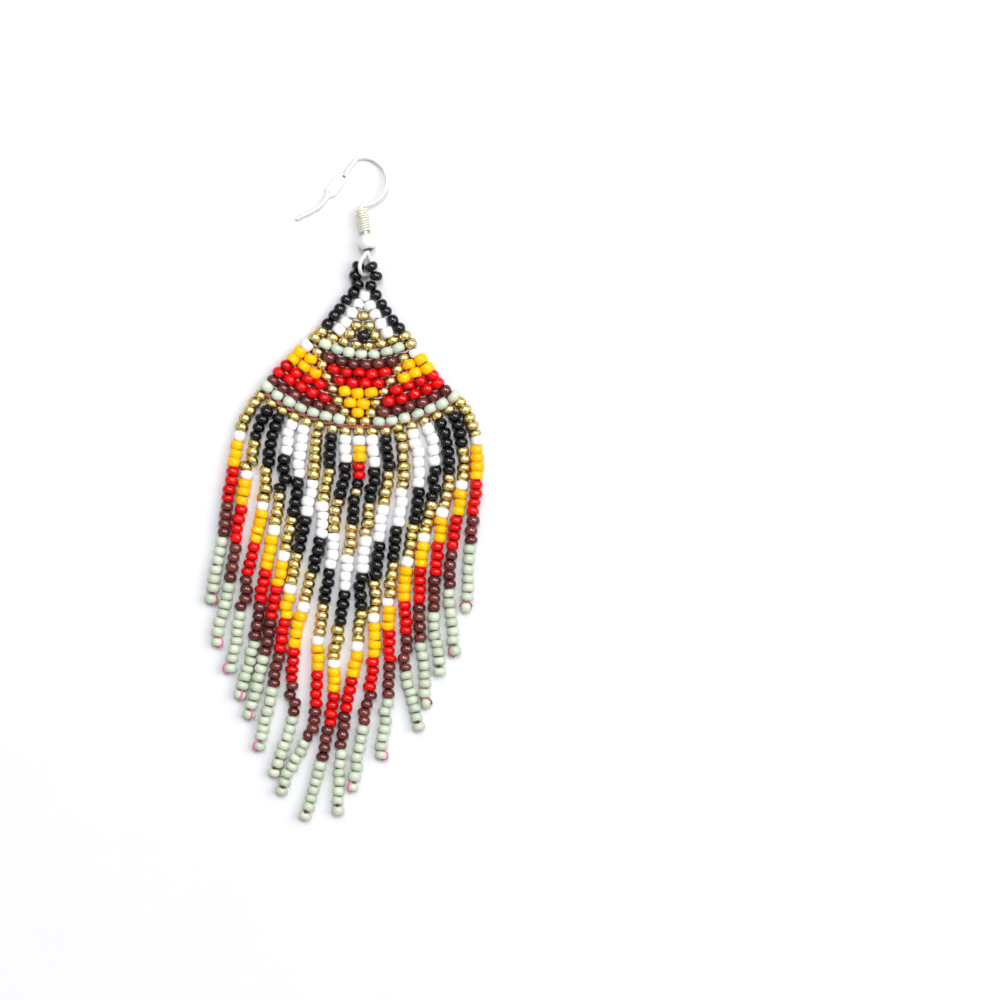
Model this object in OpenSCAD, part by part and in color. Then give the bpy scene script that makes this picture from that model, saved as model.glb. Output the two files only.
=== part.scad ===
// Earring of seed beads, lying face up: a brick stitch fan, its fringe of bead strings and a wire ear hook

/* [Beads] */
// Diameter of a seed bead across its hole
bead_d = 2.1; // [1.9:0.05:2.1]
// Length of a seed bead along its hole
bead_len = 1.5; // [1.3:0.05:1.6]

/* [Fan] */
// Radius of the first row, the two beads at the top of the fan
first_row_r = 3.9; // [3.7:0.1:4.1]
// Step from one row to the next
row_pitch = 1.69; // [1.6:0.01:1.69]
// Spacing of the beads along the first row
first_spacing = 2.05; // [1.9:0.05:2.15]
// Growth of that spacing with each row
spacing_growth = 0.017; // [0:0.001:0.02]
// Depth of the groove between two rows, on each face
groove = 0.35; // [0.05:0.05:0.5]
// Lean of the fan's middle line towards the left, in degrees
fan_lean = 2; // [0:0.5:3]

/* [Hook wire] */
// Diameter of the hook's wire
wire_d = 0.7; // [0.6:0.05:0.8]
// Radius of the hook's main bend, to the middle of the wire
bend_r = 4.2; // [3.8:0.1:4.5]
// Lean of the hook's stem towards the left, in degrees
stem_lean = 10.5; // [8:0.5:13]
// Slope of the wire that comes down from the bend, in degrees
arm_slope = 42; // [38:1:46]
// Length of that sloping wire, with the flattened plate on it
arm_len = 10; // [9:0.5:11]
// Slope of the straight tail, in degrees
tail_slope = 17; // [12:1:24]
// Length of the straight tail, up to its round tip
tail_len = 3.6; // [3:0.1:6]
// Length of the plate that is pressed flat in the wire
plate_len = 4.6; // [3.5:0.1:5]
// Width of that plate
plate_w = 1.9; // [1.4:0.1:2.2]
// Thickness of that plate at its middle
plate_t = 0.4; // [0.3:0.05:0.6]

/* [Eye, ball and coil] */
// Radius of the eye at the hook's lower end, to the middle of the wire
eye_r = 1.85; // [1.6:0.05:1.9]
// Turn of the eye out of the plane of the fan, in degrees
eye_turn = 58; // [50:1:65]
// Diameter of the ball
ball_d = 3.1; // [2.8:0.1:3.2]
// Outer diameter of the coil
coil_d = 2.1; // [2:0.05:2.3]
// Diameter of the coil's wire
coil_wire_d = 0.41; // [0.35:0.01:0.41]
// Number of turns of the coil
coil_turns = 9; // [5:1:9]

/* [Hidden] */
$fn = 48;
// Small gap that keeps two pieces apart
gap = 0.15;
// Sides of every swept tube of beads, and the longest step between its rings in bead diameters
SIDES = 8;
RING_STEP = 2.5;
// Place of the fan's centre, which brings the middle of the whole outline to the origin
fan_place = [3.7, 39];
// Height at which a tube of beads lies with a flat side on the surface
tube_z = bead_d / 2 * cos(180 / SIDES);

// Route of each string, from left to right: points from the fan's centre that it passes after its own bead
STRING_ROUTES = [
    [[-21.4, -29], [-22.8, -34.5], [-24.5, -47], [-26.6, -58]],
    [[-18.8, -30], [-20.3, -36], [-22.2, -47.5], [-23.2, -54], [-25.6, -65.5]],
    [[-16.7, -34.5], [-17.6, -41.5], [-20.2, -53.5], [-23.2, -70]],
    [[-13.7, -32.5], [-14.5, -39], [-18, -58], [-18.8, -64.5], [-21.7, -74.5]],
    [[-11.5, -37], [-12.2, -43], [-15, -55], [-17, -67], [-19.8, -78]],
    [[-9, -37], [-12.4, -55], [-15.5, -71], [-18.2, -83.5]],
    [[-6.2, -35], [-7.6, -46], [-12.1, -65], [-12.8, -73.5], [-12.3, -77], [-15.5, -88]],
    [[-3.4, -35], [-7.6, -62], [-8.6, -77], [-9.3, -81], [-14.6, -91]],
    [[-1, -36], [-4.3, -62], [-5.3, -68.5], [-5.3, -73.5], [-7.4, -85], [-10.2, -95.5]],
    [[1.6, -34.5], [0.1, -46.5], [-1.2, -65], [-4, -82], [-4.6, -94.5]],
    [[4, -35], [2.4, -47.5], [1.6, -67], [0.2, -77], [-2.1, -90.5]],
    [[6.6, -38], [4.8, -51], [4, -62], [4.3, -68.5], [2.8, -85]],
    [[9.3, -38], [6.8, -56], [7.1, -63.5], [7, -70], [9.4, -80]],
    [[12, -34], [11.6, -40.5], [10, -48], [9.3, -58], [10.6, -76]],
    [[14.5, -35], [12.8, -46.5], [11.8, -59.5], [12.9, -70.5]],
    [[16.7, -31], [16.9, -38], [15, -49], [14.5, -55.5], [15.4, -67]],
    [[18.9, -29.5], [19.2, -37], [18.1, -48], [17.6, -59.5]],
];
STRING_COUNT = len(STRING_ROUTES);
// The fan gains one bead a row, and its last row has a bead for each string
FAN_ROWS = STRING_COUNT - 1;
last_row = FAN_ROWS - 1;

// Loop of four black beads on top of the fan: columns x, y, height of its middle, radius
LOOP_RINGS = [
    [-1.85, -2.55, 1.0, 0.8],
    [-1.80, -2.25, 1.0, 1.0],
    [-1.25, -0.85, 1.1, 1.0],
    [-1.00, -0.15, 1.2, 0.8],
    [-0.45, 0.30, 1.5, 0.2],
    [0.40, 0.25, 1.9, 0.2],
    [0.80, -0.30, 2.1, 0.8],
    [1.15, -0.95, 2.1, 1.0],
    [1.80, -2.10, 1.9, 1.0],
    [1.95, -2.45, 1.8, 0.8],
];

// Ball's middle and eye's middle, from the fan's centre
ball_at = [0.43, 3.28];
eye_at = [0.12, -0.45];
eye_lean = 8.5;
// Hair's breadth by which turns of wire clear each other
hair = 0.02;
// Places along the hook, in its own plane, from the ball's middle with the stem upwards
coil_start = ball_d / 2 + gap;
coil_pitch = coil_wire_d + hair;
coil_end = coil_start + coil_turns * coil_pitch + coil_wire_d;
// Tight corner where the wire leaves the coil towards the right
corner_r = 0.42;
corner_y = coil_end + 2 * hair;
// The bend's middle lies a little to the right of the stem
bend_shift = 1.1;
bend_at = [bend_shift, corner_y + corner_r + bend_r];
// Tighter bend at the top left, and the straight arm that goes on from it
knee_r = 0.9;
knee_at = bend_at + [0, bend_r - knee_r];
arm_start = knee_at + knee_r * [-sin(arm_slope), cos(arm_slope)];
arm_way = -[cos(arm_slope), sin(arm_slope)];
plate_start = 3.2;
arm_end = arm_start + arm_len * arm_way;
// Slight bend between the arm and the tail
ankle_r = 2;
ankle_at = arm_end + ankle_r * [-sin(arm_slope), cos(arm_slope)];
tail_start = ankle_at + ankle_r * [sin(tail_slope), -cos(tail_slope)];
tail_tip = tail_start - tail_len * [cos(tail_slope), sin(tail_slope)];

// The eye stands on the surface and carries the ball, and the bend and the tail's tip come down to it
foot_lift = 0.05;
hook_z = eye_r * sin(eye_turn) + wire_d / 2 + hair;
hook_drop = hook_z - wire_d / 2 - foot_lift;
function leaned(p) =
    [p[0] * cos(stem_lean) - p[1] * sin(stem_lean), p[0] * sin(stem_lean) + p[1] * cos(stem_lean)];
bend_foot = leaned(bend_at + [0, bend_r]);
tail_foot = leaned(tail_tip);
foot_area = bend_foot[0] * tail_foot[1] - tail_foot[0] * bend_foot[1];
hook_roll = atan(hook_drop * (bend_foot[1] - tail_foot[1]) / foot_area);
hook_pitch = atan(hook_drop * (bend_foot[0] - tail_foot[0]) / foot_area);

// The wire is swept with this many sides, a hair fatter than the round tail that starts inside it
WIRE_SIDES = 12;
swept_r = wire_d / 2 + hair;
tail_overlap = 0.2;
// Round elbow in the middle of the ball, where the wire turns from the stem to the eye
elbow_d = wire_d + 0.1;
elbow_step = 0.1;
// Room for the wire in the ball's hole
hole_d = wire_d + 0.16;
// Sides of the coil's wire, and rings in each turn of it
COIL_SIDES = 6;
COIL_RINGS = 12;

// Names of the nodes
function string_name(i) = str("string_", i < 10 ? "0" : "", i);

// Fan: radius, bead spacing and half width in degrees of row k, and a place at an angle from straight down
function row_r(k) = first_row_r + k * row_pitch;
function row_spacing(k) = first_spacing + k * spacing_growth;
function row_half(k) = ((k + 1) / 2 * row_spacing(k) + bead_d / 2) / row_r(k) * 180 / PI;
function fan_point(r, a) = r * [sin(a - fan_lean), -cos(a - fan_lean)];
fan_inner = row_r(0) - bead_len / 2;
fan_outer = row_r(last_row) + bead_len / 2;
// Angle of bead i in the last row, which carries string i
function string_angle(i) =
    (i - (STRING_COUNT + 1) / 2) * row_spacing(last_row) / row_r(last_row) * 180 / PI;

function unit(v) = v / norm(v);

// Smooth curve through the points of a route, leaving the first one along first_dir
function route_dir(pts, first_dir, i) =
    i == 0 ? first_dir
    : i == len(pts) - 1 ? unit(pts[i] - pts[i - 1])
    : unit(unit(pts[i] - pts[i - 1]) + unit(pts[i + 1] - pts[i]));
function curve_point(a, b, da, db, t) =
    let (l = norm(b - a))
    a * (2 * t ^ 3 - 3 * t ^ 2 + 1) + b * (3 * t ^ 2 - 2 * t ^ 3)
    + da * l * (t ^ 3 - 2 * t ^ 2 + t) + db * l * (t ^ 3 - t ^ 2);
function smooth_route(pts, first_dir, step) = concat(
    [pts[0]],
    [for (i = [0 : len(pts) - 2])
        let (
            n = ceil(norm(pts[i + 1] - pts[i]) / step),
            leaving = route_dir(pts, first_dir, i),
            arriving = route_dir(pts, first_dir, i + 1)
        )
        for (j = [1 : n]) curve_point(pts[i], pts[i + 1], leaving, arriving, j / n)]
);

// Direction of a swept tube at ring i, and the corners of that ring
function ring_dir(rings, i) =
    unit(rings[min(i + 1, len(rings) - 1)] - rings[max(i - 1, 0)]);
function ring_corners(p, dir, r, sides) =
    let (across = unit(cross(dir, [0, 0, 1])), up = cross(across, dir), size = is_list(r) ? r : [r, r])
    [for (s = [0 : sides - 1])
        let (a = (s + 0.5) * 360 / sides)
        p + size[0] * cos(a) * across + size[1] * sin(a) * up];

// Closed tube through the rings, each with its own radius or its own half width and half height
module swept_tube(rings, radii, sides, first_dir) {
    last = len(rings) - 1;
    corners = [for (i = [0 : last])
        each ring_corners(rings[i], i == 0 ? first_dir : ring_dir(rings, i), radii[i], sides)];
    walls = [for (i = [0 : last - 1]) for (s = [0 : sides - 1])
        let (here = i * sides, next = (i + 1) * sides, beside = (s + 1) % sides)
        [here + s, here + beside, next + beside, next + s]];
    caps = [[for (s = [sides - 1 : -1 : 0]) s], [for (s = [0 : sides - 1]) last * sides + s]];
    polyhedron(points = corners, faces = concat(walls, caps));
}

// Frames: the fan's centre, and the hook's plane with the ball's middle as its origin
module in_fan_frame() {
    translate([fan_place[0], fan_place[1], 0]) children();
}
module in_hook_frame() {
    in_fan_frame()
        translate([ball_at[0], ball_at[1], hook_z])
            rotate([-hook_pitch, -hook_roll, 0])
                rotate([0, 0, stem_lean])
                    children();
}
// The stem's lower stretch, from the ball's middle down to the eye
eye_top = eye_at + eye_r * [sin(eye_lean), cos(eye_lean)];
neck = eye_top - ball_at;
module in_neck_frame() {
    in_fan_frame()
        translate([ball_at[0], ball_at[1], hook_z])
            rotate([90, 0, atan2(neck[0], -neck[1])])
                children();
}

module eye() {
    in_fan_frame()
        translate([eye_at[0], eye_at[1], hook_z])
            rotate([0, 0, -eye_lean])
                rotate([0, eye_turn, 0])
                    rotate_extrude()
                        translate([eye_r, 0]) circle(d = wire_d);
}

// Middle line of the wire in the hook's plane, from elbow to tail, with its half width and half height
function arc(centre, r, from_angle, sweep, steps) =
    [for (i = [0 : steps])
        let (a = from_angle + sweep * i / steps)
        [each centre + r * [cos(a), sin(a)], swept_r, swept_r]];
// Plate on the sloping arm: columns distance from its start as a share of its length, width and thickness
PLATE_RINGS = [
    [0, wire_d, wire_d],
    [0.12, plate_w, plate_t],
    [0.5, plate_w, plate_t],
    [0.88, plate_w, plate_t],
    [1, wire_d, wire_d],
];
plate_line = [for (row = PLATE_RINGS)
    [each arm_start + (plate_start + row[0] * plate_len) * arm_way, row[1] / 2 + hair, row[2] / 2 + hair]];
wire_line = concat(
    [[0, elbow_step, swept_r, swept_r]],
    arc([corner_r, corner_y], corner_r, 180, -90, 4),
    arc(bend_at, bend_r, -90, 180, 20),
    arc(knee_at, knee_r, 90 + arm_slope / 4, arm_slope * 3 / 4, 3),
    plate_line,
    arc(ankle_at, ankle_r, -90 + arm_slope, tail_slope - arm_slope, 3),
    [[each tail_start - tail_overlap * [cos(tail_slope), sin(tail_slope)], swept_r, swept_r]]
);

module ear_hook() {
    color("silver") {
        eye();
        in_neck_frame() translate([0, 0, elbow_step]) cylinder(h = norm(neck) - elbow_step, d = wire_d);
        in_hook_frame() {
            sphere(d = elbow_d);
            swept_tube(
                [for (p = wire_line) [p[0], p[1], 0]],
                [for (p = wire_line) [p[2], p[3]]],
                WIRE_SIDES,
                [0, 1, 0]
            );
            translate([tail_start[0], tail_start[1], 0])
                rotate([0, -90, tail_slope]) {
                    cylinder(h = tail_len, d = wire_d);
                    translate([0, 0, tail_len]) sphere(d = wire_d);
                }
        }
    }
}

module coil() {
    coil_r = (coil_d - coil_wire_d) / 2;
    rings = [for (i = [0 : COIL_RINGS * coil_turns])
        let (turn = i / COIL_RINGS, along = coil_start + coil_wire_d / 2 + coil_pitch * turn)
        [coil_r * cos(360 * turn), coil_r * sin(360 * turn), along]];
    color("silver")
        in_hook_frame()
            rotate([-90, 0, 0])
                swept_tube(rings, [for (p = rings) coil_wire_d / 2], COIL_SIDES, [0, 1, 0]);
}

module ball() {
    color("silver")
        difference() {
            in_hook_frame() sphere(d = ball_d);
            in_hook_frame() rotate([-90, 0, 0]) cylinder(h = ball_d, d = hole_d);
            in_neck_frame() cylinder(h = ball_d, d = hole_d);
            in_hook_frame() sphere(d = hole_d);
        }
}

module bead_loop() {
    rings = [for (row = LOOP_RINGS) [row[0], row[1], row[2]]];
    color("black")
        in_fan_frame()
            swept_tube(rings, [for (row = LOOP_RINGS) row[3]], SIDES, unit(rings[1] - rings[0]));
}

// Cross-section of the fan's rows, with a groove between each two, as radius and height
function row_top(k) = [
    [row_r(k) - row_pitch / 2, bead_d - groove],
    [row_r(k) - bead_len / 4, bead_d],
    [row_r(k) + bead_len / 4, bead_d],
];
fan_top = concat(
    [[fan_inner, bead_d - groove]],
    [for (k = [0 : last_row]) for (p = row_top(k)) if (p[0] > fan_inner) p],
    [[fan_outer, bead_d - groove]]
);
// Stepped outline of the fan's two sides, half a bead wider with each row: columns radius and half width
// Each step lies on a groove's slope, a little outside the groove's lowest line
step_shift = 0.2;
function step_r(k) = row_r(k) - row_pitch / 2 + step_shift;
side_steps = [for (k = [0 : last_row])
    for (r = [k == 0 ? fan_inner - bead_len : step_r(k), step_r(k + 1)]) [r, row_half(k)]];
// The outline is closed by an arc outside the last row
foot_r = fan_outer + bead_d;
FOOT_STEPS = 4;
foot_angles = [for (i = [-FOOT_STEPS : FOOT_STEPS]) i * row_half(last_row) / FOOT_STEPS];

module bead_fan() {
    bottom = [for (i = [len(fan_top) - 1 : -1 : 0]) [fan_top[i][0], bead_d - fan_top[i][1]]];
    outline = concat(
        [for (s = side_steps) fan_point(s[0], -s[1])],
        [for (a = foot_angles) fan_point(foot_r, a)],
        [for (i = [len(side_steps) - 1 : -1 : 0]) fan_point(side_steps[i][0], side_steps[i][1])]
    );
    color("goldenrod")
        in_fan_frame()
            intersection() {
                rotate_extrude() polygon(concat(fan_top, bottom));
                translate([0, 0, -1]) linear_extrude(bead_d + 2) polygon(outline);
            }
}

module string(i) {
    way = fan_point(1, string_angle(i));
    start = (fan_outer + gap) * way;
    flat_route = smooth_route(concat([start], STRING_ROUTES[i - 1]), way, RING_STEP * bead_d);
    // The last bead reaches half its length past the route's last point
    last = flat_route[len(flat_route) - 1];
    tip = last + bead_len / 2 * unit(last - flat_route[len(flat_route) - 2]);
    rings = [for (p = concat(flat_route, [tip])) [p[0], p[1], tube_z]];
    color(i % 2 == 1 ? "orange" : "firebrick")
        in_fan_frame()
            swept_tube(rings, [for (p = rings) bead_d / 2], SIDES, [way[0], way[1], 0]);
}

ear_hook();
coil();
ball();
bead_loop();
bead_fan();
for (i = [1 : STRING_COUNT])
    string(i);
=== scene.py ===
# %% [markdown]
# # A fringe earring of seed beads
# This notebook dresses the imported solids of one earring: a fan of brick stitch, seventeen strings of seed beads
# and a silver plated ear hook. The solids give every place, and this script adds what the eye sees: single
# glass beads, the thread between them, the wound coil and the pressed plate of the hook.

# %% Load the solids
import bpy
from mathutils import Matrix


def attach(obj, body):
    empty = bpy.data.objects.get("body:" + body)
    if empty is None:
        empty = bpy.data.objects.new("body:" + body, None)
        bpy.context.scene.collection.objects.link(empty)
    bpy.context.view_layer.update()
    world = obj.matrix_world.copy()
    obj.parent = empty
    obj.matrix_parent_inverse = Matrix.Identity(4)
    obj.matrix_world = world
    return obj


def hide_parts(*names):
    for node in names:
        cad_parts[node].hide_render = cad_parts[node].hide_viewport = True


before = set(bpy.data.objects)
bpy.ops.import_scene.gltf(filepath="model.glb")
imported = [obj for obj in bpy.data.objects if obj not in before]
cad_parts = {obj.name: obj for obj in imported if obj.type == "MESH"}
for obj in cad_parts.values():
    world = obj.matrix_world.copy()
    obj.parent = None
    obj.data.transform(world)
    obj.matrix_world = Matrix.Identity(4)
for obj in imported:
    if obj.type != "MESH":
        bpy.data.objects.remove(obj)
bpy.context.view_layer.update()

# %% Blender's own modules and the unit
import math
import random
from types import SimpleNamespace
import bmesh
import bpy
from mathutils import Matrix, Vector

MM = 0.001
UP = Vector((0, 0, 1))
scene = bpy.context.scene
print("unit", MM, "m")

# %% [markdown]
# ## Sizes
# All sizes repeat the named values of the solids, in millimetres. A seed bead of this size is 2.1 mm wide. Each
# colour comes from its own batch, so each has its own length, and a string's beads are threaded with those
# lengths. Colours are letters: K is black, W white, G gold, O orange, R red, B brown and S sage.

# %% Named sizes
bead_d = 2.1
fan_place = Vector((3.7, 39, 0))
fan_lean = math.radians(2)
first_row_r, row_pitch = 3.9, 1.69
first_spacing, spacing_growth, top_pair_spacing = 2.05, 0.017, 2.4
wire_r = 0.35
# the length that a bead takes up on a string, and its width, a little over 2.1 because its ten sides cut in
PITCH = {"K": 1.56, "W": 1.58, "G": 1.50, "O": 1.47, "R": 1.51, "B": 1.57, "S": 1.58}
WIDTH = {"K": 2.34, "W": 2.24, "G": 2.30, "O": 2.34, "R": 2.38, "B": 2.32, "S": 2.28}
# in the fan the beads nest between those of the next row, so they show longer there: width, length
FAN_SIZE = {"K": (2.20, 1.74), "W": (2.24, 1.78), "G": (2.08, 1.66), "O": (2.36, 1.78), "R": (2.30, 1.80),
            "B": (2.24, 1.74), "S": (2.30, 1.76)}
# how far a bead reaches into the dimple of the next one: white ones have flat ends, so their seams hardly show
REACH = {"K": 0.06, "W": 0.16, "G": 0.06, "O": 0.10, "R": 0.06, "B": 0.06, "S": 0.06}
# how far the beads of one batch differ: smallest and largest share of their width, and of their length
WIDTH_SPREAD, FAN_LENGTH_SPREAD, STRING_LENGTH_SPREAD = (0.94, 1.05), (0.88, 1.10), (0.88, 1.12)
print("bead pitches", PITCH)

# %% [markdown]
# ## Camera
# The earring lies flat and the camera looks straight down on it. A wide lens from near by would show the sides
# of the outer beads. A long lens from far away keeps the picture nearly free of perspective, so the fan's rows
# and the long strings keep their true proportions.

# %% Camera
camera_at = Vector((26.98, -2.03, 479.9))
camera_data = bpy.data.cameras.new("camera")
camera_data.lens = 100
camera_data.clip_start = 0.01
camera = bpy.data.objects.new("camera", camera_data)
camera.location = camera_at * MM
scene.collection.objects.link(camera)
scene.camera = camera
print("camera height", round(camera.location.z, 3))

# %% [markdown]
# ## Light
# Small shiny things are lit with large soft panels. The largest stands to the right and throws the wide soft
# shadows to the left. One near the camera lights the paper between the strings and sets a bright spot in the
# middle of each bead, and two more stand behind and to the left. The world is a light tent: bright overhead and
# dim at its rim, which gives each bead a bright face and a darker edge. Straight overhead it is dark, because
# the camera itself hides the light there: that is the small dark dot in the middle of each glossy bead.

# %% A helper for soft panels, and the panels
def soft_panel(name, place, size, watts):
    """A square area light at a place in millimetres, turned to the middle of the earring."""
    data = bpy.data.lights.new(name, "AREA")
    data.size = size * MM
    data.energy = watts
    panel = bpy.data.objects.new(name, data)
    panel.location = place * MM
    panel.rotation_euler = place.to_track_quat("Z", "Y").to_euler()
    scene.collection.objects.link(panel)
    print(name, watts, "W")

soft_panel("right_panel", Vector((1050, 270, 1200)), 1150, 20.0)
soft_panel("near_panel", Vector((90, 500, 1500)), 480, 13.5)
soft_panel("back_panel", Vector((-150, 1050, 1350)), 600, 4.5)
soft_panel("left_panel", Vector((-1050, -50, 1350)), 500, 2.0)

# %% The light tent
# columns: height of the direction, 0 at the rim and 1 overhead, and its brightness
TENT = [(0.0, 0.28), (0.35, 0.31), (0.62, 0.46), (0.80, 0.60), (0.93, 0.60), (0.975, 0.14), (1.0, 0.10)]
world = bpy.data.worlds.new("light_tent")
world.use_nodes = True
scene.world = world
sky = world.node_tree
direction = sky.nodes.new("ShaderNodeTexCoord")
parts = sky.nodes.new("ShaderNodeSeparateXYZ")
tent = sky.nodes.new("ShaderNodeValToRGB")
stops = tent.color_ramp.elements
for height, level in TENT:
    stop = stops.new(height) if 0 < height < 1 else stops[-1 if height else 0]
    stop.color = (level * 0.99, level * 0.99, level * 1.02, 1)
sky.links.new(direction.outputs["Generated"], parts.inputs["Vector"])
sky.links.new(parts.outputs["Z"], tent.inputs["Fac"])
sky.links.new(tent.outputs["Color"], sky.nodes["Background"].inputs["Color"])
view = scene.view_settings
view.view_transform, view.look, view.exposure = "Standard", "Medium High Contrast", -0.55
print("world", world.name)

# %% [markdown]
# ## Shader groups
# Every bead finish shares two effects. They could be copied into each material, but a node group is built once
# and then takes each finish's own values. The first group shades a bead's colour: each bead has its own number
# on it, which picks a slightly lighter or darker glass from the batch, and its colour is darkened round its hole,
# where it meets its neighbours: painted shade.
# The second gives the fired surface its gloss and its faint unevenness.

# %% Helpers for groups, nodes and materials
def shader_group(name, inputs, outputs):
    """An empty shader group with named sockets, and its input and output nodes."""
    group = bpy.data.node_groups.new(name, "ShaderNodeTree")
    for label, kind, value in inputs:
        group.interface.new_socket(label, in_out="INPUT", socket_type=kind).default_value = value
    for label, kind in outputs:
        group.interface.new_socket(label, in_out="OUTPUT", socket_type=kind)
    return group, group.nodes.new("NodeGroupInput"), group.nodes.new("NodeGroupOutput")

def add_node(tree, kind, settings=None, **values):
    """A node with settings, and with input values or links by socket name, or by place as in0 or in1."""
    made = tree.nodes.new(kind)
    for key, value in (settings or {}).items():
        setattr(made, key, value)
    for label, value in values.items():
        socket = made.inputs[int(label[2:]) if label.startswith("in") else label.replace("_", " ")]
        if isinstance(value, bpy.types.NodeSocket):
            tree.links.new(value, socket)
        else:
            socket.default_value = value
    return made

def arithmetic(tree, operation, *values):
    """The result of a Math node on numbers or other results."""
    return add_node(tree, "ShaderNodeMath", {"operation": operation},
                    **{f"in{i}": value for i, value in enumerate(values)}).outputs[0]

def noise(tree, scale, detail=2.0):
    """Soft noise in the space of the piece."""
    where = add_node(tree, "ShaderNodeTexCoord").outputs["Object"]
    return add_node(tree, "ShaderNodeTexNoise", Vector=where, Scale=scale, Detail=detail).outputs["Fac"]

def mixed(tree, share, first, second):
    """A colour between two others."""
    return add_node(tree, "ShaderNodeMix", {"data_type": "RGBA"}, in0=share, in6=first, in7=second).outputs[2]

def new_finish(name):
    """A material, its node tree and its Principled shader."""
    finish = bpy.data.materials.new(name)
    finish.use_nodes = True
    print("finish", name)
    return finish, finish.node_tree, finish.node_tree.nodes["Principled BSDF"]

def add_relief(tree, body, height, strength=0.12, depth=0.02):
    """Fine bumps, as deep as some hundredths of a millimetre."""
    bump = add_node(tree, "ShaderNodeBump", Strength=strength, Distance=depth * MM, Height=height)
    tree.links.new(bump.outputs["Normal"], body.inputs["Normal"])

COLOUR, NUMBER = "NodeSocketColor", "NodeSocketFloat"

# %% Group: the colour of one bead among its batch
bead_colour, start, end = shader_group(
    "bead_colour",
    [("Glass", COLOUR, (0.5, 0.5, 0.5, 1)), ("Other batch", COLOUR, (0.4, 0.4, 0.4, 1)),
     ("Spread", NUMBER, 0.1), ("Streaks", NUMBER, 0.1), ("Hole shade", NUMBER, 0.4)],
    [("Colour", COLOUR)])
g = bead_colour
tint = add_node(g, "ShaderNodeAttribute", {"attribute_name": "bead_tint"}).outputs["Fac"]
near_hole = add_node(g, "ShaderNodeAttribute", {"attribute_name": "bead_end"}).outputs["Fac"]
batch = mixed(g, tint, start.outputs["Glass"], start.outputs["Other batch"])
streak = arithmetic(g, "MULTIPLY_ADD", noise(g, 1500.0, 3.0), start.outputs["Streaks"], 1.0)
shade = arithmetic(g, "MULTIPLY_ADD", tint, start.outputs["Spread"], streak)
# painted shade: the colour darkens towards the hole, where a bead meets its neighbours
ring = add_node(g, "ShaderNodeMapRange", {"interpolation_type": "SMOOTHSTEP"}, Value=near_hole,
                From_Min=0.12, From_Max=0.60)
hole = arithmetic(g, "MULTIPLY", ring.outputs[0], start.outputs["Hole shade"])
level = arithmetic(g, "MULTIPLY", shade, arithmetic(g, "SUBTRACT", 1.0, hole))
final = add_node(g, "ShaderNodeHueSaturation", Value=level, Color=batch)
g.links.new(final.outputs["Color"], end.inputs["Colour"])
print("group", g.name, "nodes", len(g.nodes))

# %% Group: the fired surface
fired_surface, start, end = shader_group(
    "fired_surface", [("Gloss", NUMBER, 0.1), ("Uneven", NUMBER, 0.1)],
    [("Roughness", NUMBER), ("Height", NUMBER)])
g = fired_surface
coarse = noise(g, 2500.0)
rough = arithmetic(g, "MULTIPLY_ADD", coarse, start.outputs["Uneven"], start.outputs["Gloss"])
g.links.new(rough, end.inputs["Roughness"])
g.links.new(arithmetic(g, "ADD", coarse, noise(g, 5200.0)), end.inputs["Height"])
print("group", g.name, "nodes", len(g.nodes))

# %% [markdown]
# ## Bead finishes
# Most of the beads are opaque glass: a coloured body under its own clear gloss, with no light coming through.
# The gold ones are glass with a thin metal coat. It picks up rubs, so its colour goes from yellow to rose.
# The sage ones have a soft, waxy finish. One function makes them all, and each colour gives only its own values.
# The Principled shader stays in the material, and the groups feed it.

# %% A helper for one bead finish
# hole: how strongly painted shade darkens a bead round its hole
def bead_finish(name, glass, other, gloss, spread=0.12, streaks=0.08, hole=0.35, uneven=0.15, metal=0.0,
                milk=0.0, index=1.5, edge=(1, 1, 1)):
    """A glass or metal coated finish: two batch colours, its gloss, and how milky the glass is."""
    finish, tree, body = new_finish(name)
    body.inputs["Metallic"].default_value = metal
    body.inputs["IOR"].default_value = index
    body.inputs["Specular Tint"].default_value = (*edge, 1)
    body.inputs["Subsurface Weight"].default_value = milk
    body.inputs["Subsurface Radius"].default_value = (1.0, 0.9, 0.8)
    body.inputs["Subsurface Scale"].default_value = 0.5 * MM
    colour = add_node(tree, "ShaderNodeGroup", {"node_tree": bead_colour}, Glass=(*glass, 1),
                      Other_batch=(*other, 1), Spread=spread, Streaks=streaks, Hole_shade=hole)
    surface = add_node(tree, "ShaderNodeGroup", {"node_tree": fired_surface}, Gloss=gloss, Uneven=uneven)
    tree.links.new(colour.outputs["Colour"], body.inputs["Base Color"])
    tree.links.new(surface.outputs["Roughness"], body.inputs["Roughness"])
    add_relief(tree, body, surface.outputs["Height"])
    return finish

# %% The finishes of the beads
FINISHES = {
    "K": bead_finish("glass_black", (0.004, 0.004, 0.005), (0.008, 0.008, 0.010), gloss=0.02, hole=0.2,
                     uneven=0.04, index=1.66),
    "W": bead_finish("glass_white", (0.87, 0.86, 0.85), (0.90, 0.89, 0.91), gloss=0.15, spread=0.02,
                     streaks=0.02, hole=0.05, milk=0.8),
    "G": bead_finish("coat_gold", (0.86, 0.73, 0.28), (0.90, 0.67, 0.35), gloss=0.24, spread=0.15,
                     streaks=0.15, hole=0.8, uneven=0.12, metal=1.0, edge=(0.10, 0.03, 0.0)),
    "O": bead_finish("glass_orange", (0.96, 0.56, 0.0), (0.96, 0.47, 0.0), gloss=0.12, spread=0.04, hole=0.3,
                     uneven=0.1, milk=0.1, index=1.45),
    "R": bead_finish("glass_red", (0.60, 0.0, 0.001), (0.74, 0.001, 0.001), gloss=0.02, hole=0.6, uneven=0.04,
                     index=1.6),
    "B": bead_finish("glass_brown", (0.105, 0.018, 0.018), (0.15, 0.036, 0.026), gloss=0.02, spread=0.3,
                     uneven=0.04, index=1.8),
    "S": bead_finish("glass_sage", (0.51, 0.57, 0.44), (0.57, 0.62, 0.49), gloss=0.18, spread=0.08, hole=0.5,
                     uneven=0.12),
}
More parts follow.
